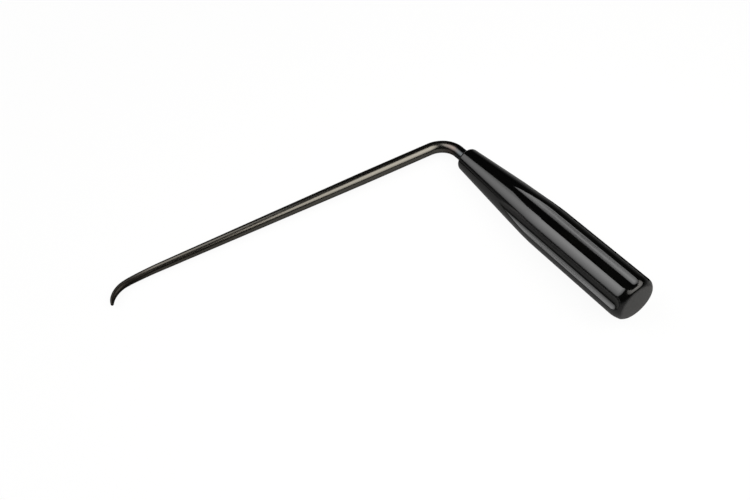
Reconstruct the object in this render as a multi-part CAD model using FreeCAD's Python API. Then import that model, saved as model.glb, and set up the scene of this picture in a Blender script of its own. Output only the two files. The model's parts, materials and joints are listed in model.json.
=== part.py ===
# Handheld retractor: a round steel shaft that is bent near a right angle, hooked at its free end
# and moulded into a fluted plastic handle. It lies on its side, as it comes to rest on a table.
# Lengths are in millimetres and angles in degrees.
import FreeCAD
import Part
import math
import os

from FreeCAD import Placement, Rotation, Vector

# Handle: a round barrel that narrows in a cone to the neck
handle_length = 88.0
barrel_diameter = 16.6
barrel_length = 44.0
shoulder_blend_radius = 100.0
neck_diameter = 9.4
neck_rounding = 1.2
butt_rounding_length = 3.5
butt_rounding_depth = 2.5
mouth_chamfer = 0.3

# Flutes, left by a round-ended cutter that runs parallel to the handle's axis. The phase turns the
# uppermost flute from the top of the drawn tool, and a positive one turns it away from the hook.
flute_count = 6
flute_cutter_radius = 3.8
flute_floor_radius = 6.9
flute_end_distance = 3.2
flute_phase = -7.0

# Shaft: a round rod, parallel behind its bend and then tapered
rod_diameter = 4.75
stub_length = 5.0
bend_radius = 9.0
bend_angle = 81.9
parallel_length = 29.0
taper_length = 82.4
taper_end_diameter = 3.22

# Hook: three arcs of the centre line, each tighter than the last. It thins steadily along them,
# and over its last few millimetres it rounds off to a blunt tip: the power says how late.
lead_radius = 125.0
lead_angle = 5.3
ease_radius = 26.0
ease_angle = 6.3
hook_radius = 8.0
hook_angle = 71.1
hook_thinning = 0.75
tip_diameter = 1.1
tip_rounding_power = 6

# Tang: the end of the shaft inside the handle, with two flats that keep it from turning
tang_length = 52.0
tang_flat_length = 24.0
tang_flat_depth = 0.6

# Spacing of the hook's sections, and fineness of the points that find how the tool lies
section_spacing = 0.8
contact_fineness = 0.02
settling_steps = 8

up = Vector(0, 0, 1)

# The tool is drawn flat, with its shaft along -X after the bend and its butt at the origin.
shaft_heading = 180.0
handle_heading = shaft_heading - bend_angle


def heading_vector(heading):
    """Unit vector in the drawing plane, at an angle from +X towards +Y."""
    angle = math.radians(heading)
    return Vector(math.cos(angle), math.sin(angle), 0)


def stand_along(shape, start, heading):
    """Turns a shape made along +Z so that it runs from a point in a heading, its X staying up."""
    direction = heading_vector(heading)
    shape.Placement = Placement(start, Rotation(up, direction.cross(up), direction, "ZXY"))
    return shape


def circle_at(walk, radius):
    """Circle round the centre line, with its seam always on the upper side."""
    return stand_along(Part.Wire(Part.makeCircle(radius)), walk.point, walk.heading)


class Walk:
    """A point that walks along the shaft's centre line and turns to the left."""

    def __init__(self, point, heading):
        self.point = point
        self.heading = heading

    def run(self, length):
        self.point = self.point + heading_vector(self.heading) * length

    def centre(self, radius):
        return self.point + heading_vector(self.heading + 90) * radius

    def arc(self, radius, angle):
        centre = self.centre(radius)
        self.heading += angle
        self.point = centre - heading_vector(self.heading + 90) * radius


def straight_rod(walk, start_diameter, end_diameter, length):
    """Round rod, parallel or tapered."""
    if start_diameter == end_diameter:
        shape = Part.makeCylinder(start_diameter / 2, length)
    else:
        shape = Part.makeCone(start_diameter / 2, end_diameter / 2, length)
    stand_along(shape, walk.point, walk.heading)
    walk.run(length)
    return shape


def bent_rod(walk, diameter, radius, angle):
    """Round rod bent on an arc."""
    section = Part.Face(circle_at(walk, diameter / 2))
    shape = section.revolve(walk.centre(radius), up, angle)
    walk.arc(radius, angle)
    return shape


def hook(walk):
    """Rod that thins along three arcs and ends in half a ball."""
    arcs = (
        (lead_radius, lead_angle),
        (ease_radius, ease_angle),
        (hook_radius, hook_angle),
    )
    full_length = sum(radius * math.radians(angle) for radius, angle in arcs)
    tip_rounding = taper_end_diameter - hook_thinning - tip_diameter
    walked = 0.0
    circles = [circle_at(walk, taper_end_diameter / 2)]
    for radius, angle in arcs:
        steps = math.ceil(radius * math.radians(angle) / section_spacing)
        for _ in range(steps):
            walk.arc(radius, angle / steps)
            walked += radius * math.radians(angle / steps)
            part = walked / full_length
            thinned = hook_thinning * part + tip_rounding * part**tip_rounding_power
            circles.append(circle_at(walk, (taper_end_diameter - thinned) / 2))
    half_ball = Part.makeSphere(tip_diameter / 2, Vector(0, 0, 0), up, 0, 90)
    stand_along(half_ball, walk.point, walk.heading)
    return Part.makeLoft(circles, True, False).fuse(half_ball)


def tang(neck_point):
    """Round rod inside the handle, flattened on two sides at its far end."""
    start = neck_point - heading_vector(handle_heading) * tang_length
    round_rod = Part.makeCylinder(rod_diameter / 2, tang_length)
    flat_distance = rod_diameter / 2 - tang_flat_depth
    for side in (1, -1):
        waste = Part.makeBox(tang_flat_depth, rod_diameter, tang_flat_length)
        waste.translate(Vector(min(side * flat_distance, side * rod_diameter / 2), -rod_diameter / 2, 0))
        round_rod = round_rod.cut(waste)
    return stand_along(round_rod, start, handle_heading)


def make_shaft(neck_point):
    walk = Walk(neck_point, handle_heading)
    pieces = [
        straight_rod(walk, rod_diameter, rod_diameter, stub_length),
        bent_rod(walk, rod_diameter, bend_radius, bend_angle),
        straight_rod(walk, rod_diameter, rod_diameter, parallel_length),
        straight_rod(walk, rod_diameter, taper_end_diameter, taper_length),
        hook(walk),
    ]
    return tang(neck_point).multiFuse(pieces).removeSplitter()


def rounded_corner(start, corner, end):
    """Quarter of an ellipse that touches both sides of a corner."""
    curve = Part.BezierCurve()
    curve.setPoles([start, corner, end])
    curve.setWeight(2, math.sqrt(0.5))
    return curve.toShape()


def handle_profile():
    """Half outline of the handle, with X as the radius and Z as the distance from the butt."""
    barrel = barrel_diameter / 2
    neck = neck_diameter / 2
    neck_start = handle_length - neck_rounding
    cone_angle = math.atan2(barrel - neck, neck_start - barrel_length)
    blend = shoulder_blend_radius * math.tan(cone_angle / 2)
    butt_flat = barrel - butt_rounding_depth
    blend_start = Vector(barrel, 0, barrel_length - blend)
    shoulder = Vector(barrel, 0, barrel_length)
    along_cone = Vector(-math.sin(cone_angle), 0, math.cos(cone_angle))
    blend_end = shoulder + along_cone * blend
    blend_middle = blend_start + Vector(
        shoulder_blend_radius * (math.cos(cone_angle / 2) - 1),
        0,
        shoulder_blend_radius * math.sin(cone_angle / 2),
    )
    butt_centre = Vector(0, 0, 0)
    butt_edge = Vector(butt_flat, 0, 0)
    barrel_start = Vector(barrel, 0, butt_rounding_length)
    cone_end = Vector(neck, 0, neck_start)
    neck_corner = Vector(neck - neck_rounding * math.tan(cone_angle), 0, handle_length)
    neck_edge = Vector(neck - neck_rounding, 0, handle_length)
    neck_centre = Vector(0, 0, handle_length)
    edges = [
        Part.makeLine(butt_centre, butt_edge),
        rounded_corner(butt_edge, Vector(barrel, 0, 0), barrel_start),
        Part.makeLine(barrel_start, blend_start),
        Part.Arc(blend_start, blend_middle, blend_end).toShape(),
        Part.makeLine(blend_end, cone_end),
        rounded_corner(cone_end, neck_corner, neck_edge),
        Part.makeLine(neck_edge, neck_centre),
        Part.makeLine(neck_centre, butt_centre),
    ]
    return Part.Face(Part.Wire(edges))


def flute_cutter():
    """Round-ended cutter at the side of the handle's axis."""
    centre_distance = flute_floor_radius + flute_cutter_radius
    start = Vector(centre_distance, 0, flute_end_distance)
    ball = Part.makeSphere(flute_cutter_radius, start)
    return Part.makeCylinder(flute_cutter_radius, handle_length, start).fuse(ball)


def make_handle(neck_point, shaft):
    body = handle_profile().revolve(Vector(0, 0, 0), up, 360)
    for index in range(flute_count):
        cutter = flute_cutter()
        cutter.rotate(Vector(0, 0, 0), up, flute_phase + 360.0 * index / flute_count)
        body = body.cut(cutter)
    rod_radius = rod_diameter / 2
    mouth = Part.makeCone(
        rod_radius,
        rod_radius + mouth_chamfer,
        mouth_chamfer,
        Vector(0, 0, handle_length - mouth_chamfer),
    )
    body = body.cut(mouth)
    return stand_along(body, Vector(0, 0, 0), handle_heading).cut(shaft)


def lowest(points, direction):
    return min(points, key=direction.dot)


def resting_direction(handle, shaft):
    """Which way is up for the drawn tool once it lies on its shoulder, its neck and its hook."""
    along = heading_vector(handle_heading)
    mid_cone = (barrel_length + handle_length) / 2
    handle_points = handle.tessellate(contact_fineness)[0]
    rear_points = [point for point in handle_points if point.dot(along) < mid_cone]
    neck_points = [point for point in handle_points if point.dot(along) > handle_length - 2 * neck_rounding]
    shaft_points = shaft.tessellate(contact_fineness)[0]
    direction = up
    for _ in range(settling_steps):
        rear = lowest(rear_points, direction)
        neck = lowest(neck_points, direction)
        tip = lowest(shaft_points, direction)
        direction = (tip - rear).cross(neck - rear).normalize()
        if direction.dot(up) < 0:
            direction = direction * -1
    return direction


def lay_down(pieces, direction):
    """Turns the tool on to its points of contact and centres it on the origin."""
    turn = Rotation(direction, up)
    for piece in pieces:
        piece.Placement = Placement(Vector(0, 0, 0), turn).multiply(piece.Placement)
    box = FreeCAD.BoundBox()
    for piece in pieces:
        box.add(piece.optimalBoundingBox(False, False))
    shift = Vector(-(box.XMin + box.XMax) / 2, -(box.YMin + box.YMax) / 2, -box.ZMin)
    for piece in pieces:
        piece.translate(shift)


neck_point = heading_vector(handle_heading) * handle_length
shaft = make_shaft(neck_point)
handle = make_handle(neck_point, shaft)
lay_down([shaft, handle], resting_direction(handle, shaft))

os.makedirs("parts", exist_ok=True)
shaft.exportStep("parts/shaft.step")
handle.exportStep("parts/handle.step")
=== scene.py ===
# %% [markdown]
# # A handheld retractor on a white table
# The real tool is two pieces. A round rod of blackened steel is bent near a right angle, drawn
# out to a long taper and hooked at its tip. A black plastic handle is moulded round its other
# end, and six long flutes in it give the fingers a hold.
#
# The measured model is loaded first and stays as it is. Every piece below is made to lie
# exactly where its own measured piece lies, so nothing has to be fitted afterwards.

import json
import math

import bmesh
import bpy
from mathutils import Matrix, Vector


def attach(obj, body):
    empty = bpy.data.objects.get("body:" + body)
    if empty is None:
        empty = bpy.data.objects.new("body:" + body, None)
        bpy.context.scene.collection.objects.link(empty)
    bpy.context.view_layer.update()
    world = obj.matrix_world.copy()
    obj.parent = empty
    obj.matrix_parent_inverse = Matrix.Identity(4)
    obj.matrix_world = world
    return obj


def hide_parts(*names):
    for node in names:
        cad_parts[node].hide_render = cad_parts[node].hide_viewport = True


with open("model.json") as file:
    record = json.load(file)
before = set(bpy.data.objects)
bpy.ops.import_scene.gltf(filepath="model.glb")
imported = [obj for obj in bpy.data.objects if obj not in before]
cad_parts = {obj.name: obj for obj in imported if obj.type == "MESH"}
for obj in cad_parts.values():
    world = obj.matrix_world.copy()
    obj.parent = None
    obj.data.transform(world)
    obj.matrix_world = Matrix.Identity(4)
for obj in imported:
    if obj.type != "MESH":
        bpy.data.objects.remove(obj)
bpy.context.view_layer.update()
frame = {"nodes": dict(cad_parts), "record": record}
record = frame["record"]
print("nodes:", sorted(frame["nodes"]))

# %% [markdown]
# ## Where the tool lies
# A toolmaker draws such a tool flat: the rod and the handle's axis lie in one plane, so each
# bend is a turn about one direction. The finished tool lies a little askew, on its shoulder,
# its neck and its hook. Modelling in the flat drawing keeps each step simple, and one matrix
# then lays the finished piece down.
#
# The record holds what that matrix needs: the middle of the handle's flat end with its
# direction, and the direction of the rod's parallel part.

# %% From the drawing to the table
MM = 0.001
mounts = {mount["name"]: mount for mount in record["mounts"]}
butt_point = Vector(mounts["butt_face"]["pos_m"])
handle_axis = -Vector(mounts["butt_face"]["axis"]).normalized()
rod_axis = Vector(mounts["rod"]["axis"]).normalized()
tool_up = handle_axis.cross(rod_axis).normalized()


def placing(x_axis, z_axis):
    """Matrix that carries a piece from its own axes to where the tool lies."""
    axes = Matrix((x_axis, z_axis.cross(x_axis), z_axis)).transposed()
    return Matrix.Translation(butt_point) @ axes.to_4x4()


drawing_to_table = placing(-rod_axis, tool_up)
upright_to_table = placing(tool_up, handle_axis)
bend_angle = handle_axis.angle(rod_axis)
print("the rod is bent by", round(math.degrees(bend_angle), 2), "degrees")

# %% [markdown]
# ## Starting a piece
# An operator acts on all that is selected, and the loaded model is still selected. So each
# piece starts with everything deselected, and the new primitive is named at once. Its place
# is then moved from the object into the mesh, where edit mode works in metres from the origin.

# %% Helpers for whole pieces
def deselect_all():
    bpy.ops.object.select_all(action="DESELECT")


def select_only(piece):
    deselect_all()
    piece.select_set(True)
    bpy.context.view_layer.objects.active = piece


def place_in_mesh(piece):
    select_only(piece)
    bpy.ops.object.transform_apply(location=True, rotation=True, scale=True)


def take_up(name):
    """Names the primitive that was just added, and moves its place into its mesh."""
    piece = bpy.context.object
    piece.name = name
    piece.data.name = name
    place_in_mesh(piece)
    return piece


def report(piece):
    sizes = [round(side / MM, 2) for side in piece.dimensions]
    print(piece.name, "faces:", len(piece.data.polygons), "size in mm:", sizes)


# %% [markdown]
# ## Working in edit mode
# By hand, one would click on the edges to extrude. In a script they are chosen by a test of
# their place, which keeps working when a size changes. These helpers open a piece, choose
# parts of it, extrude them, and close the piece up again.

# %% Helpers for edit mode
seam_gap = 0.001 * MM


def open_piece(kind):
    """Opens the active piece with all of its vertices, edges or faces selected."""
    bpy.ops.object.mode_set(mode="EDIT")
    bpy.ops.mesh.select_mode(type=kind)
    bpy.ops.mesh.select_all(action="SELECT")


def close_piece():
    bpy.ops.object.mode_set(mode="OBJECT")


def pick(kind, wanted):
    """Selects the vertices or edges that pass a test, and returns how many there are."""
    bpy.ops.mesh.select_mode(type=kind)
    bpy.ops.mesh.select_all(action="DESELECT")
    mesh = bmesh.from_edit_mesh(bpy.context.object.data)
    parts = {"VERT": mesh.verts, "EDGE": mesh.edges}[kind]
    found = [part for part in parts if wanted(part)]
    for part in found:
        part.select = True
    mesh.select_flush_mode()
    bmesh.update_edit_mesh(bpy.context.object.data)
    return len(found)


def extrude(step):
    bpy.ops.mesh.extrude_region_move(TRANSFORM_OT_translate={"value": step})


def face_outwards():
    bpy.ops.mesh.select_all(action="SELECT")
    bpy.ops.mesh.normals_make_consistent(inside=False)


def close_seams():
    """Merges doubled vertices and turns every face outwards."""
    bpy.ops.mesh.select_all(action="SELECT")
    bpy.ops.mesh.remove_doubles(threshold=seam_gap)
    face_outwards()


# %% [markdown]
# ## A walk along the rod
# The real rod is one length of drawn wire, so it could be a curve with a round bevel. Its hook
# thins as it bends, though, and the finish needs to know how far along the rod a point is.
# Walking one ring of edges along the centre line gives both: a straight run is an extrude, a
# bend is a spin round the bend's own centre, a taper is a resize of the ring, and each stop is
# noted for the finish.

# %% The walk
class Walk:
    """A ring in the flat drawing: its centre, heading, radius and place along the rod."""

    def __init__(self, point, heading, radius, along):
        self.point = point.copy()
        self.heading = heading
        self.radius = radius
        self.along = along
        self.stops = []
        self.note()

    def direction(self):
        return Vector((math.cos(self.heading), math.sin(self.heading), 0))

    def left(self):
        return Vector((-math.sin(self.heading), math.cos(self.heading), 0))

    def note(self):
        self.stops.append((self.along, self.point.copy(), self.direction()))

    def run(self, length):
        step = self.direction() * length
        extrude(step)
        self.point += step
        self.along += length
        self.note()

    def turn(self, radius, angle, steps=1):
        """Spins the ring round the arc's centre, which is on its left."""
        centre = self.point + self.left() * radius
        bpy.ops.mesh.spin(steps=steps, angle=-angle, center=centre, axis=(0, 0, 1))
        for _ in range(steps):
            self.heading += angle / steps
            self.point = centre - self.left() * radius
            self.along += radius * angle / steps
            self.note()

    def slim_to(self, radius):
        """Resizes the ring about its own centre."""
        factor = radius / self.radius
        bpy.ops.transform.resize(value=(factor, factor, factor), center_override=self.point)
        self.radius = radius


# %% [markdown]
# ## The end inside the handle
# More than half of the handle's length holds buried rod. The walk starts there, at the hidden
# end, and comes out at the neck. Lengths along the rod count from the neck.

# %% Hidden end and stub
rod_radius = mounts["rod"]["dims"]["r_mm"] * MM
rod_sides = 96
handle_length = 88.0 * MM
tang_length = 52.0 * MM
stub_length = 5.0 * MM

handle_heading = math.pi - bend_angle
drawn_handle_axis = Vector((math.cos(handle_heading), math.sin(handle_heading), 0))
tang_start = drawn_handle_axis * (handle_length - tang_length)
deselect_all()
bpy.ops.mesh.primitive_circle_add(
    vertices=rod_sides,
    radius=rod_radius,
    location=tang_start,
    rotation=drawn_handle_axis.to_track_quat("Z", "Y").to_euler(),
)
rod = take_up("hooked_rod")
open_piece("EDGE")
walk = Walk(tang_start, handle_heading, rod_radius, -tang_length)
walk.run(tang_length)
walk.run(stub_length)
print("the stub ends at, mm:", [round(place / MM, 2) for place in walk.point])

# %% [markdown]
# ## The bend
# The maker bends the cold rod round a former, so its centre line is a true arc and the rod
# stays round. The spin's small steps keep the outline smooth where it turns fastest.

# %% Bend and parallel part
bend_radius = 9.0 * MM
bend_steps = 32
parallel_length = mounts["rod"]["dims"]["length_mm"] * MM
walk.turn(bend_radius, bend_angle, bend_steps)
walk.run(parallel_length)
print("the parallel part ends at, mm:", [round(place / MM, 2) for place in walk.point])

# %% [markdown]
# ## The taper
# Past the parallel part the rod is ground to a long, slim taper. Extruding once and shrinking
# the far ring would do for its shape. Several short steps cost little, and they keep the faces
# from getting so long and thin that the shading shows it.

# %% Taper
taper_length = 82.4 * MM
taper_end_radius = 3.22 / 2 * MM
taper_steps = 12
for step in range(1, taper_steps + 1):
    walk.run(taper_length / taper_steps)
    walk.slim_to(rod_radius + (taper_end_radius - rod_radius) * step / taper_steps)
print("the taper ends at, mm:", [round(place / MM, 2) for place in walk.point])

# %% [markdown]
# ## The hook
# The tip is forged round in three arcs, each tighter than the last. It thins steadily along
# them, and over its last few millimetres it rounds off. One sum gives both: a share of the
# length walked so far, and a high power of that share, which stays near zero until late.

# %% Hook
hook_arcs = (
    # radius, angle in degrees, steps
    (125.0 * MM, 5.3, 8),
    (26.0 * MM, 6.3, 4),
    (8.0 * MM, 71.1, 30),
)
hook_thinning = 0.375 * MM
tip_radius = 0.55 * MM
tip_rounding = taper_end_radius - hook_thinning - tip_radius
rounding_power = 6
hook_length = sum(radius * math.radians(angle) for radius, angle, steps in hook_arcs)
hook_start = walk.along
for radius, angle, steps in hook_arcs:
    for _ in range(steps):
        walk.turn(radius, math.radians(angle) / steps)
        part = (walk.along - hook_start) / hook_length
        thinned = hook_thinning * part + tip_rounding * part**rounding_power
        walk.slim_to(taper_end_radius - thinned)
print("the hook's centre line is", round(hook_length / MM, 2), "mm long")

# %% [markdown]
# ## The tip
# The point is blunt, so that it holds tissue without piercing it. A half ball closes it: each
# ring steps forward by less and shrinks by more, and the last one merges to one vertex.

# %% Tip and hidden end
tip_steps = 10
for step in range(1, tip_steps):
    before = math.pi / 2 * (step - 1) / tip_steps
    after = math.pi / 2 * step / tip_steps
    walk.run(tip_radius * (math.sin(after) - math.sin(before)))
    walk.slim_to(tip_radius * math.cos(after))
walk.run(tip_radius * (1 - math.sin(after)))
bpy.ops.mesh.merge(type="CENTER")
pick("EDGE", lambda edge: edge.is_boundary)
bpy.ops.mesh.edge_face_add()
close_seams()
close_piece()
report(rod)

# %% [markdown]
# ## Two flats on the hidden end
# A round rod would turn in the plastic under load. Two flats milled on its end stop that. They
# are cut with Boolean modifiers by two plain blocks, as a mill would cut them.

# %% Flats
flat_depth = 0.6 * MM
flat_length = 24.0 * MM


def apply_modifier(piece, kind, **settings):
    select_only(piece)
    modifier = piece.modifiers.new(kind.lower(), kind)
    for setting, value in settings.items():
        setattr(modifier, setting, value)
    bpy.ops.object.modifier_apply(modifier=modifier.name)


def cut_away(piece, cutter):
    apply_modifier(piece, "BOOLEAN", operation="DIFFERENCE", object=cutter, solver="EXACT")


for side in (1, -1):
    deselect_all()
    bpy.ops.mesh.primitive_cube_add(
        size=1,
        location=tang_start + Vector((0, 0, side * (2 * rod_radius - flat_depth))),
        rotation=(0, 0, handle_heading),
        scale=(2 * flat_length, 3 * rod_radius, 2 * rod_radius),
    )
    waste = take_up("flat_waste")
    cut_away(rod, waste)
    bpy.data.objects.remove(waste)
report(rod)

# %% [markdown]
# ## The handle's outline
# Apart from its flutes the handle is a round body: a barrel, a long cone to the neck, and
# rounded ends. It could be built up from cylinders and cones, but one outline, spun round the
# axis, runs smoothly from one form into the next. Only half of it is drawn. The corners are
# quarter ellipses, because the real edge at the butt runs further along the barrel than across
# the end.

# %% Outline of the handle
barrel_radius = 8.3 * MM
barrel_length = 44.0 * MM
shoulder_radius = 100.0 * MM
neck_radius = 4.7 * MM
neck_rounding = 1.2 * MM
butt_rounding_length = 3.5 * MM
butt_rounding_depth = 2.5 * MM
mouth_chamfer = 0.3 * MM
butt_steps = 12
shoulder_steps = 10
neck_steps = 10


def rounded_corner(start, corner, end, steps):
    """Points on a quarter ellipse that touches both sides of a corner, without the first."""
    points = []
    for step in range(1, steps + 1):
        part = step / steps
        weights = ((1 - part) ** 2, math.sqrt(2) * part * (1 - part), part**2)
        pulls = list(zip(weights, (start, corner, end)))
        points.append(tuple(
            sum(weight * point[axis] for weight, point in pulls) / sum(weights)
            for axis in (0, 1)
        ))
    return points


def handle_outline():
    """Radius and height of each point, from the middle of the butt to the middle of the neck."""
    neck_start = handle_length - neck_rounding
    cone_angle = math.atan2(barrel_radius - neck_radius, neck_start - barrel_length)
    shoulder_start = barrel_length - shoulder_radius * math.tan(cone_angle / 2)
    butt_edge = (barrel_radius - butt_rounding_depth, 0)
    barrel_start = (barrel_radius, butt_rounding_length)
    points = [(0, 0), butt_edge]
    points += rounded_corner(butt_edge, (barrel_radius, 0), barrel_start, butt_steps)
    for step in range(shoulder_steps + 1):
        turned = cone_angle * step / shoulder_steps
        points.append((
            barrel_radius - shoulder_radius * (1 - math.cos(turned)),
            shoulder_start + shoulder_radius * math.sin(turned),
        ))
    cone_end = (neck_radius, neck_start)
    neck_corner = (neck_radius - neck_rounding * math.tan(cone_angle), handle_length)
    neck_edge = (neck_radius - neck_rounding, handle_length)
    points.append(cone_end)
    points += rounded_corner(cone_end, neck_corner, neck_edge, neck_steps)
    points.append((rod_radius + mouth_chamfer, handle_length))
    points.append((rod_radius, handle_length - mouth_chamfer))
    points.append((0, handle_length - mouth_chamfer))
    return points


outline = handle_outline()
print("points in the outline:", len(outline))

# %% [markdown]
# ## Spinning the handle
# The handle stands upright for this, with its butt at the origin and its axis along Z. A tiny
# plane, merged to one vertex, is the start of the outline, and a chain of short extrudes draws
# the rest. The many sides of the spin matter more here than on most pieces, because high gloss
# shows every facet.

# %% Handle as a round body
handle_sides = 288
deselect_all()
bpy.ops.mesh.primitive_plane_add(size=MM)
handle = take_up("fluted_handle")
open_piece("VERT")
bpy.ops.mesh.merge(type="CENTER")
for before, after in zip(outline, outline[1:]):
    extrude((after[0] - before[0], 0, after[1] - before[1]))
bpy.ops.mesh.select_all(action="SELECT")
bpy.ops.mesh.spin(steps=handle_sides, angle=math.tau, center=(0, 0, 0), axis=(0, 0, 1))
close_seams()
close_piece()
report(handle)

# %% [markdown]
# ## The flutes
# A round-ended cutter that runs parallel to the axis leaves each flute. On the barrel the flute
# is even, and on the cone it gets shallower until it runs out in a long point, with nothing
# more to model. So the cutter is what gets modelled: a ball that loses its upper half, has the
# open rim drawn out in its place, and is copied round the axis by a spin that duplicates.

# %% Flute cutters
flute_count = 6
flute_cutter_radius = 3.8 * MM
flute_floor_radius = 6.9 * MM
flute_end = 3.2 * MM
flute_phase = math.radians(-7.0)
cutter_distance = flute_floor_radius + flute_cutter_radius
deselect_all()
bpy.ops.mesh.primitive_uv_sphere_add(
    segments=128,
    ring_count=64,
    radius=flute_cutter_radius,
    location=(
        cutter_distance * math.cos(flute_phase),
        cutter_distance * math.sin(flute_phase),
        flute_end,
    ),
)
cutters = take_up("flute_cutters")
open_piece("VERT")
pick("VERT", lambda vertex: vertex.co.z > flute_end + seam_gap)
bpy.ops.mesh.delete(type="VERT")
pick("EDGE", lambda edge: edge.is_boundary)
extrude((0, 0, handle_length))
bpy.ops.mesh.edge_face_add()
bpy.ops.mesh.select_all(action="SELECT")
bpy.ops.mesh.spin(
    steps=flute_count - 1,
    angle=math.tau * (flute_count - 1) / flute_count,
    dupli=True,
    center=(0, 0, 0),
    axis=(0, 0, 1),
)
face_outwards()
close_piece()
report(cutters)

# %% [markdown]
# ## Cutting the flutes
# One Boolean takes all six out at once. The exact solver is the one to use here, because
# the cutters leave the cone at a very flat angle, where a faster one can tear the surface.

# %% Flutes in the handle
cut_away(handle, cutters)
bpy.data.objects.remove(cutters)
report(handle)

# %% [markdown]
# ## Laying the pieces down
# Both pieces now go where the tool lies. The rod then cuts its own bore in the handle, since
# the plastic was moulded round it and fits it everywhere. For the next step the handle goes
# back upright once more, where its rims are easy to find.

# %% Rod and bore
def lay_down(piece, matrix):
    piece.matrix_world = matrix
    place_in_mesh(piece)


lay_down(rod, drawing_to_table)
lay_down(handle, upright_to_table)
cut_away(handle, rod)
lay_down(handle, upright_to_table.inverted())
report(handle)

# %% [markdown]
# ## Soft rims
# The rims between the flutes and the barrel are crisp but not sharp: a mould can't make a
# perfect edge, and a hand wears it down. A small bevel catches the light as the real ones do.
#
# An edge is softened when it is further out than the neck and its two faces meet at a clear
# angle. That leaves out the far end of each flute, which is too flat for it. It also takes in
# the five steps of the butt's rounding nearest to the flat face, where the outline turns
# fastest. The slivers that the cuts left are merged first. They come out a few thousandths of
# a millimetre apart from run to run, so the count of edges can differ by one.

# %% Bevel the rims
rim_bevel = 0.25 * MM
inner_limit = neck_radius + 0.3 * MM
clear_angle = math.radians(8)
sliver = 0.01 * MM


def needs_softening(edge):
    middle = (edge.verts[0].co + edge.verts[1].co) / 2
    return middle.xy.length > inner_limit and edge.calc_face_angle(0) > clear_angle


select_only(handle)
open_piece("VERT")
bpy.ops.mesh.remove_doubles(threshold=sliver)
print("edges to soften:", pick("EDGE", needs_softening))
bpy.ops.mesh.bevel(offset=rim_bevel, segments=3, affect="EDGES", clamp_overlap=False)
close_piece()
lay_down(handle, upright_to_table)
report(handle)

# %% [markdown]
# ## Smooth shading
# Shading smooth by angle keeps the ends' edges crisp and blends the rest. The weighted normals
# then let the large, true faces decide the shading, so that the narrow bevels don't drag
# streaks into the flutes' reflections.

# %% Shade
crisp_angle = math.radians(32)
for piece in (rod, handle):
    select_only(piece)
    bpy.ops.object.shade_smooth_by_angle(angle=crisp_angle)
    apply_modifier(piece, "WEIGHTED_NORMAL", keep_sharp=True)
    report(piece)

# %% [markdown]
# ## Coordinates that follow the rod
# The drawn lines in the steel run along the rod, round the bend and the hook. Plain object
# coordinates would cut straight across them. So each vertex gets a vector of its own: how far
# along the rod it is, and how far to the left of the centre line and above it. To the finish,
# the rod is then straight.

# %% Straightened coordinates
table_to_drawing = drawing_to_table.inverted()


def straightened(point):
    """Along, left and up, measured from the nearest stop of the walk."""
    along, centre, direction = min(walk.stops, key=lambda stop: (stop[1] - point).length_squared)
    offset = point - centre
    left = Vector((-direction.y, direction.x, 0))
    return Vector((along + offset.dot(direction), offset.dot(left), offset.z))


straight = rod.data.attributes.new("straight", "FLOAT_VECTOR", "POINT")
for vertex, place in zip(rod.data.vertices, straight.data):
    place.vector = straightened(table_to_drawing @ vertex.co)
print("stops along the rod:", len(walk.stops))

# %% [markdown]
# ## Building a finish from nodes
# A finish is a material whose nodes are wired in Python. Two small classes keep that readable.
# `Finish` adds any node by its type, with its settings and then its sockets. `Value` wraps one
# output, and arithmetic on it adds the Math nodes, so a mask reads like a formula. The world's
# nodes are built with them too.

# %% Helpers for finishes
class Value:
    """A number that varies over the surface. Arithmetic on it adds Math nodes."""

    def __init__(self, finish, socket):
        self.finish = finish
        self.socket = socket

    def __add__(self, other):
        return self.finish.math("ADD", self, other)

    def __sub__(self, other):
        return self.finish.math("SUBTRACT", self, other)

    def __mul__(self, other):
        return self.finish.math("MULTIPLY", self, other)

    def __rsub__(self, other):
        return self.finish.math("SUBTRACT", other, self)

    __radd__ = __add__
    __rmul__ = __mul__


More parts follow.
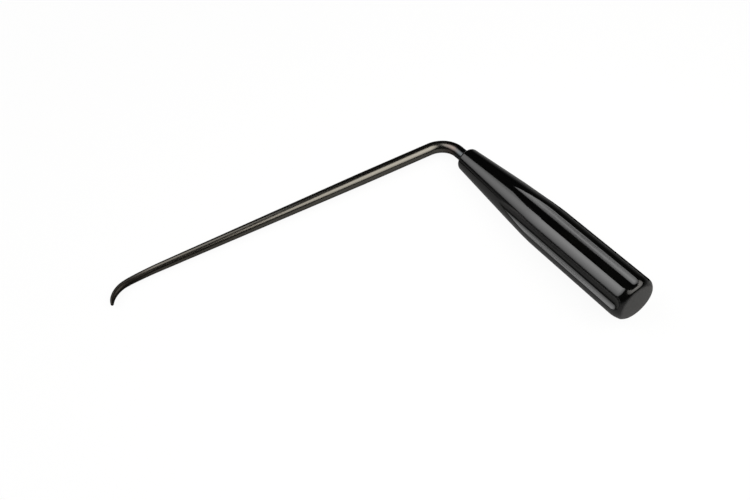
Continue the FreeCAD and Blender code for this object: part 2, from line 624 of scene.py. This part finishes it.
class Finish:
    """What a material, or the world, is made of, built node by node."""

    def __init__(self, owner):
        owner.use_nodes = True
        self.owner = owner
        self.tree = owner.node_tree
        self.tree.nodes.clear()

    def node(self, kind, settings=None, sockets=None):
        """Adds a node. Its settings come first, because some of them change its sockets."""
        node = self.tree.nodes.new(kind)
        for setting, value in (settings or {}).items():
            setattr(node, setting, value)
        for name, value in (sockets or {}).items():
            socket = next(one for one in node.inputs if one.name == name and one.enabled)
            self.feed(socket, value)
        return node

    def feed(self, socket, value):
        if isinstance(value, Value):
            value = value.socket
        if isinstance(value, bpy.types.NodeSocket):
            self.tree.links.new(value, socket)
        else:
            socket.default_value = value

    def math(self, operation, *values):
        node = self.node("ShaderNodeMath", {"operation": operation})
        for socket, value in zip(node.inputs, values):
            self.feed(socket, value)
        return Value(self, node.outputs[0])

    def part_of(self, vector, axis):
        """One part of a vector, such as its X."""
        node = self.node("ShaderNodeSeparateXYZ", {}, {"Vector": vector})
        return Value(self, node.outputs[axis])

    def squeeze(self, vector, factors):
        """Multiplies each part of a vector by its own factor."""
        node = self.node("ShaderNodeVectorMath", {"operation": "MULTIPLY"}, {"Vector": vector})
        node.inputs[1].default_value = factors
        return node.outputs["Vector"]

    def noise(self, place, scale, detail=2.0, roughness=0.5):
        """Noise from 0 to 1, with its scale as the number of blobs to a metre."""
        sockets = {"Vector": place, "Scale": scale, "Detail": detail, "Roughness": roughness}
        return Value(self, self.node("ShaderNodeTexNoise", {}, sockets).outputs["Fac"])

    def step(self, value, low, high):
        """A soft step: 0 below the low value, 1 above the high one."""
        settings = {"interpolation_type": "SMOOTHSTEP"}
        sockets = {"Value": value, "From Min": low, "From Max": high}
        return Value(self, self.node("ShaderNodeMapRange", settings, sockets).outputs[0])

    def blend(self, factor, first, second):
        """Mixes two colours."""
        sockets = {"Factor": factor, "A": first, "B": second}
        node = self.node("ShaderNodeMix", {"data_type": "RGBA"}, sockets)
        return next(one for one in node.outputs if one.enabled)

    def bump(self, height, depth):
        """Normals from a height of 0 to 1 that stands for a depth in metres."""
        sockets = {"Height": height, "Distance": depth, "Strength": 1.0}
        return self.node("ShaderNodeBump", {}, sockets).outputs["Normal"]

    def surface(self, shader, output_kind="ShaderNodeOutputMaterial"):
        self.node(output_kind, {}, {"Surface": shader})
        return self.owner


def new_finish(name):
    return Finish(bpy.data.materials.new(name))


def grey(level):
    return (level, level, level, 1.0)


# %% [markdown]
# ## Black, moulded plastic
# The handle is a hard black plastic with a mould's high gloss. Its own colour hardly shows:
# what the eye sees are reflections, so the finish is mostly about how clean they are. Three
# small faults make it real. The surface ripples very slightly, as moulded plastic does. The
# gloss is a little duller in places, from handling. Fine hairlines run along the handle, where
# it has been wiped. The flat butt has a duller gloss and is painted a little greyer: a painted
# reflection of the lit table just in front of it.
#
# The hairlines need the handle's own direction, so a Mapping node stands the handle upright.
# Noise gives blobs, and squeezing its coordinates along the handle draws them out to lines.

# %% Handle's finish
def moulded_black_plastic():
    clean_black = grey(0.0012)
    handled_black = (0.0022, 0.0022, 0.0020, 1.0)
    # Painted reflection: this lighter grey on the flat butt stands in for the lit table that it
    # mirrors.
    butt_painted_reflection = grey(0.035)
    hairline_squeeze = 0.03
    ripple_depth = 0.005 * MM

    finish = new_finish("moulded_black_plastic")
    to_upright = upright_to_table.inverted()
    upright = finish.node(
        "ShaderNodeMapping",
        {"vector_type": "POINT"},
        {
            "Vector": finish.node("ShaderNodeTexCoord").outputs["Object"],
            "Location": to_upright.to_translation(),
            "Rotation": to_upright.to_euler("XYZ"),
        },
    ).outputs["Vector"]
    drawn_out = finish.squeeze(upright, (1.0, 1.0, hairline_squeeze))

    handled = finish.step(finish.noise(upright, 90.0, detail=3.0), 0.42, 0.68)
    hairlines = finish.step(finish.noise(drawn_out, 5200.0, detail=1.0), 0.62, 0.78)
    # The flat butt, which gets the painted reflection grey and a duller gloss.
    flat_butt_mask = finish.step(finish.part_of(upright, "Z"), 0.3 * MM, 0.05 * MM)
    ripple = finish.noise(upright, 330.0, detail=1.0)
    grain = finish.noise(upright, 3400.0, detail=1.0)

    colour = finish.blend(handled, clean_black, handled_black)
    colour = finish.blend(flat_butt_mask, colour, butt_painted_reflection)
    roughness = 0.08 + handled * 0.04 + hairlines * 0.04 + flat_butt_mask * 0.08
    shader = finish.node(
        "ShaderNodeBsdfPrincipled",
        {"distribution": "MULTI_GGX"},
        {
            "Base Color": colour,
            "Roughness": roughness,
            "IOR": 1.58,
            "Normal": finish.bump(ripple * 0.9 + grain * 0.1, ripple_depth),
        },
    )
    return finish.surface(shader.outputs[0])


handle.data.materials.clear()
handle.data.materials.append(moulded_black_plastic())
print("handle's finish:", handle.data.materials[0].name)

# %% [markdown]
# ## Blackened steel
# The rod is steel, drawn, polished along its length and then blackened. It still mirrors like
# metal, only darkly, so the shader is metallic with a dark, warm colour. The polish left fine
# lines along the rod: the straightened coordinates are squeezed lengthwise, and noise on them
# gives long thin streaks in the roughness and the bump.
#
# The blackening isn't even. Next to the neck a bluish tint turns to a reddish one, as steel
# does where it was warmed. Towards the tip the rod is browner and darker, partly its own tone
# and partly painted: the steel is painted lighter near the bend, a painted highlight that keeps
# the lamp's streak bright there, and darker towards the tip, where the streak fades. The hook's
# end is darkest and dullest.

# %% Rod's finish
def blackened_steel():
    # The two main colours are set lighter than the brown further on: a painted highlight that
    # brightens the lamp's streak near the bend.
    dark_steel = (0.158, 0.152, 0.136, 1.0)
    light_steel = (0.184, 0.174, 0.153, 1.0)
    brown = (0.112, 0.100, 0.084, 1.0)
    reddish = (0.088, 0.068, 0.062, 1.0)
    bluish = (0.058, 0.068, 0.074, 1.0)
    hook_black = (0.026, 0.023, 0.020, 1.0)
    tint_strength = 0.8
    line_squeeze = 0.012
    line_depth = 0.002 * MM

    finish = new_finish("blackened_polished_steel")
    attribute = finish.node("ShaderNodeAttribute", {"attribute_name": "straight"})
    straight_place = attribute.outputs["Vector"]
    along = finish.part_of(straight_place, "X")
    drawn_out = finish.squeeze(straight_place, (line_squeeze, 1.0, 1.0))

    lines = finish.noise(drawn_out, 7000.0, detail=3.0, roughness=0.6)
    bands = finish.noise(drawn_out, 1500.0)
    cloud = finish.noise(straight_place, 140.0, detail=3.0)
    # Painted highlight and shade, partly real: lighter steel up to 60 mm from the neck, then
    # browner and darker up to 140 mm, where the lamp's streak fades.
    tip_brown_and_streak_fade = finish.step(along, 60 * MM, 140 * MM)
    red_tint = finish.step(along + cloud * (4 * MM), 17 * MM, 10 * MM)
    blue_tint = finish.step(along + cloud * (2 * MM), 8 * MM, 3 * MM)
    dull_tip = finish.step(along + cloud * (2 * MM), 132 * MM, 143 * MM)

    colour = finish.blend(cloud, dark_steel, light_steel)
    colour = finish.blend(tip_brown_and_streak_fade * tint_strength, colour, brown)
    colour = finish.blend(red_tint * tint_strength, colour, reddish)
    colour = finish.blend(blue_tint * tint_strength, colour, bluish)
    colour = finish.blend(dull_tip, colour, hook_black)
    shader = finish.node(
        "ShaderNodeBsdfPrincipled",
        {"distribution": "MULTI_GGX"},
        {
            "Base Color": colour,
            "Metallic": 1.0,
            "Specular Tint": grey(0.4),
            "Roughness": 0.16 + lines * 0.08 + cloud * 0.04 + dull_tip * 0.15,
            "Normal": finish.bump(lines * 0.6 + bands * 0.4, line_depth),
        },
    )
    return finish.surface(shader.outputs[0])


rod.data.materials.clear()
rod.data.materials.append(blackened_steel())
print("rod's finish:", rod.data.materials[0].name)

# %% [markdown]
# ## The table
# The tool lies on a plain white surface that fills the view. In the picture this surface is
# pure white, and yet the black gloss mirrors it as a dark grey. One plain white material can't
# do both. So the table is a mix of a white glow and a diffuse surface that the lamps light. The
# camera sees mostly the glow, with enough of the lit surface to keep the tool's soft shadow.
# Mirrored rays see mostly the lit surface. Far from the tool the camera sees only the glow, so
# that the table runs into the white behind it with no horizon.

# %% White table
table_size = 3.6
table_gap = 0.01 * MM
deselect_all()
bpy.ops.mesh.primitive_plane_add(size=table_size, location=(0, 0, -table_gap))
white_table = take_up("white_table")


def watched(finish, camera_share, mirror_share):
    """One share for rays from the camera, another for mirrored ones, 0 for the light it sheds."""
    path = finish.node("ShaderNodeLightPath").outputs
    mirrored = finish.math("MAXIMUM", path["Is Glossy Ray"], path["Is Transmission Ray"])
    return Value(finish, path["Is Camera Ray"]) * camera_share + mirrored * mirror_share


def table_white():
    white, mirrored_grey = grey(0.92), grey(0.22)
    lit_share = 0.07
    mirrored_glow = 0.08
    lit_reach, white_reach = 0.12, 0.50

    finish = new_finish("table_white")
    place = finish.node("ShaderNodeTexCoord").outputs["Object"]
    distance = finish.node("ShaderNodeVectorMath", {"operation": "LENGTH"}, {"Vector": place})
    near_tool = finish.step(distance.outputs["Value"], white_reach, lit_reach)
    glow_share = watched(finish, 1 - near_tool * lit_share, mirrored_glow)
    colour = finish.blend(watched(finish, 1.0, 0.0), mirrored_grey, white)
    diffuse = finish.node("ShaderNodeBsdfDiffuse", {}, {"Color": colour}).outputs[0]
    glow = finish.node("ShaderNodeEmission", {}, {"Color": grey(1.0), "Strength": 1.0}).outputs[0]
    mixed = finish.node("ShaderNodeMixShader", {}, {"Fac": glow_share})
    finish.feed(mixed.inputs[1], diffuse)
    finish.feed(mixed.inputs[2], glow)
    return finish.surface(mixed.outputs[0])


white_table.data.materials.append(table_white())
print("table:", table_size, "m across")

# %% [markdown]
# ## A dark studio above the white table
# Black gloss shows the room. In the real picture the tool lies under a dark ceiling with two
# lamps, and that gives the deep black between the bright streaks. The ceiling here is a dome
# that only reflections see: the camera looks through it at white, and soft light from all
# round still reaches the tool. The dome is lighter low down, because the handle's lower sides
# mirror a dim grey there.

# %% Dark dome
dome_radius = 1.7
dim_height = 0.40
deselect_all()
bpy.ops.mesh.primitive_uv_sphere_add(segments=48, ring_count=24, radius=dome_radius)
dark_dome = take_up("dark_dome")
open_piece("VERT")
pick("VERT", lambda vertex: vertex.co.z < -MM)
bpy.ops.mesh.delete(type="VERT")
close_piece()
dark_dome.visible_camera = False
dark_dome.visible_diffuse = False
dark_dome.visible_shadow = False


def dome_black():
    finish = new_finish("dome_black")
    place = finish.node("ShaderNodeTexCoord").outputs["Object"]
    low_down = finish.step(finish.part_of(place, "Z"), dim_height, 0.0)
    colour = finish.blend(low_down, grey(0.008), grey(0.13))
    glow = finish.node("ShaderNodeEmission", {}, {"Color": colour, "Strength": 1.0})
    return finish.surface(glow.outputs[0])


dark_dome.data.materials.append(dome_black())
print("dome:", dome_radius, "m in radius")

# %% [markdown]
# ## Soft light from all round
# Past the table's edge there is only the world. The camera and mirrored rays see it white. As a
# light it is plain and even, and weak: it only fills what the lamps leave dark. Together with
# them it makes a colour render about as it is written.

# %% World
world_light = 0.12
seen_extra = 1 - world_light
room = Finish(bpy.data.worlds.new("white_room"))
strength = world_light + watched(room, seen_extra, seen_extra)
background = room.node("ShaderNodeBackground", {}, {"Color": grey(1.0), "Strength": strength})
bpy.context.scene.world = room.surface(background.outputs[0], "ShaderNodeOutputWorld")
print("world:", bpy.context.scene.world.name)

# %% [markdown]
# ## Two lamps
# Two round softboxes hang over the table. The large one is on the far left, and the handle's
# barrel, cone and flutes each mirror it as one long streak. The other one hangs close by on the
# near right, a little warmer, and the rod and the rounded ends mirror it.
#
# Each lamp is set by the direction in which it is seen from the tool, its distance and its
# size, since that is what a reflection shows. Real softboxes are brightest in the middle, and
# the streaks in the picture are too. A narrowed spread does that here.

# %% Lamps
def seen_at(azimuth, elevation):
    """Direction at an angle from +Y towards +X, and an angle above the table, in degrees."""
    turned, raised = math.radians(azimuth), math.radians(elevation)
    flat = math.cos(raised)
    return Vector((math.sin(turned) * flat, math.cos(turned) * flat, math.sin(raised)))


def round_softbox(name, direction, distance, width, height, spread, brightness, colour):
    """Elliptical lamp that faces the tool, and is brightest at its middle."""
    half_spread = math.radians(spread) / 2
    narrowing = 1 - half_spread / math.tan(half_spread)
    data = bpy.data.lights.new(name, "AREA")
    data.shape = "ELLIPSE"
    data.size = width
    data.size_y = height
    data.spread = 2 * half_spread
    data.color = colour
    data.energy = brightness * math.pi * (math.pi * width * height / 4) * narrowing
    lamp = bpy.data.objects.new(name, data)
    bpy.context.collection.objects.link(lamp)
    across = Vector((0, 0, 1)).cross(direction).normalized()
    axes = Matrix((across, direction.cross(across), direction)).transposed()
    lamp.matrix_world = Matrix.Translation(direction * distance) @ axes.to_4x4()
    return lamp


left_softbox = round_softbox(
    "left_softbox",
    direction=seen_at(-54, 47),
    distance=0.57,
    width=0.76,
    height=0.76,
    spread=84,
    brightness=4.2,
    colour=(1.0, 1.0, 1.0),
)
right_softbox = round_softbox(
    "right_softbox",
    direction=seen_at(132, 49),
    distance=0.32,
    width=0.46,
    height=0.42,
    spread=108,
    brightness=3.6,
    colour=(1.0, 0.97, 0.92),
)
print("lamps:", left_softbox.name, right_softbox.name)

# %% [markdown]
# ## The camera
# The picture was taken from above at the near left, with the camera turned a little about its
# own line of sight. The place and the three angles were found together with the tool's size.

# %% Camera
camera_place = (-0.036348, -0.138617, 0.219945)
camera_azimuth = math.radians(-17.3751)
camera_elevation = math.radians(53.3380)
camera_roll = math.radians(-9.794)
camera_data = bpy.data.cameras.new("camera")
camera_data.sensor_width = 36.0
camera_data.lens = 36.1417
camera_data.clip_start = 0.01
camera = bpy.data.objects.new("camera", camera_data)
bpy.context.collection.objects.link(camera)
bpy.context.scene.camera = camera
camera.matrix_world = (
    Matrix.Translation(camera_place)
    @ Matrix.Rotation(camera_azimuth, 4, "Z")
    @ Matrix.Rotation(math.pi / 2 - camera_elevation, 4, "X")
    @ Matrix.Rotation(camera_roll, 4, "Z")
)
bpy.context.scene.view_settings.view_transform = "Standard"
print("camera looks along", [round(part, 4) for part in camera.matrix_world.col[2].xyz * -1])

# %% [markdown]
# ## Handing over
# Each piece takes the place of its measured piece and moves with the tool. The measured pieces
# are hidden and kept.

# %% Stand for the measured pieces
for piece, node, finish_slot in (
    (rod, "shaft", "blackened_steel"),
    (handle, "handle", "handle_plastic"),
):
    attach(piece, "root")
    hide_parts(node)
